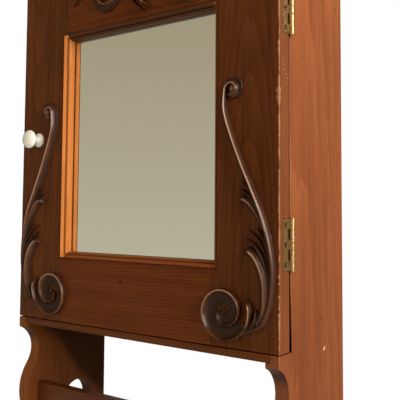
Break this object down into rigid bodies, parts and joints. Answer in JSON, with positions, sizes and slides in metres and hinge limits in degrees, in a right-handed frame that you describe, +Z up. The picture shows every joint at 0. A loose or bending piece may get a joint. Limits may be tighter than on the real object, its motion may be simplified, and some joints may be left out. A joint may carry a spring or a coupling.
{
  "type": "medicine cabinet with mirror",
  "caption": "Wall-hung wooden medicine cabinet: hinged mirrored door with carved scrolls, porcelain knob, shelves, and scrolled side ends joined by a low rail.",
  "frame": {"origin": "midway between the two hanging holes, on the plane of the wall", "axes": "+Z up, -Y out of the wall towards the viewer, +X to the viewer's right"},
  "size_m": [0.516, 0.213, 0.779],
  "materials": {
    "door_wood": "dark reddish-brown walnut, satin varnish",
    "trim_wood": "dark reddish-brown walnut, satin varnish",
    "case_wood": "orange-brown stained wood, satin varnish",
    "inner_wood": "plain stained wood",
    "back_wood": "thin plain boards, unvarnished",
    "carved_wood": "carved walnut, glossier than the frame",
    "mirror": "silvered plate glass",
    "backing": "thin backing board",
    "porcelain": "glossy off-white glaze",
    "brass": "worn, dull brass",
    "steel": "plain steel"
  },
  "bodies": {
    "case": {"case_top": "trim_wood", "case_bottom": "trim_wood", "top_cap": "trim_wood", "cove_front": "trim_wood", "cove_left": "trim_wood", "cove_right": "trim_wood", "side_left": "case_wood", "side_right": "case_wood", "lower_rail": "case_wood", "shelf_lower": "inner_wood", "shelf_upper": "inner_wood", "hanging_rail": "inner_wood", "back_board_1": "back_wood", "back_board_2": "back_wood", "back_board_3": "back_wood", "back_board_4": "back_wood", "hinge_case_leaf_upper": "brass", "hinge_case_leaf_lower": "brass", "hinge_case_screws": "brass", "side_nails": "steel", "back_nails": "steel"},
    "door": {"stile_lock": "door_wood", "stile_hinge": "door_wood", "rail_top": "door_wood", "rail_bottom": "door_wood", "carving_left": "carved_wood", "carving_right": "carved_wood", "carving_top": "carved_wood", "mirror_glass": "mirror", "mirror_backing": "backing", "backing_brads": "steel", "knob": "porcelain", "knob_bolt": "steel", "knob_nut": "steel", "knob_washer": "steel", "hinge_door_leaf_upper": "brass", "hinge_door_leaf_lower": "brass", "hinge_pin_upper": "brass", "hinge_pin_lower": "brass", "hinge_door_screws": "brass"}
  },
  "joints": [
    {"name": "door_hinge", "type": "hinge", "parent": "case", "child": "door", "pos_m": [0.2436, -0.15875, 0], "axis": [0, 0, 1], "range_deg": [0, 175]}
  ]
}
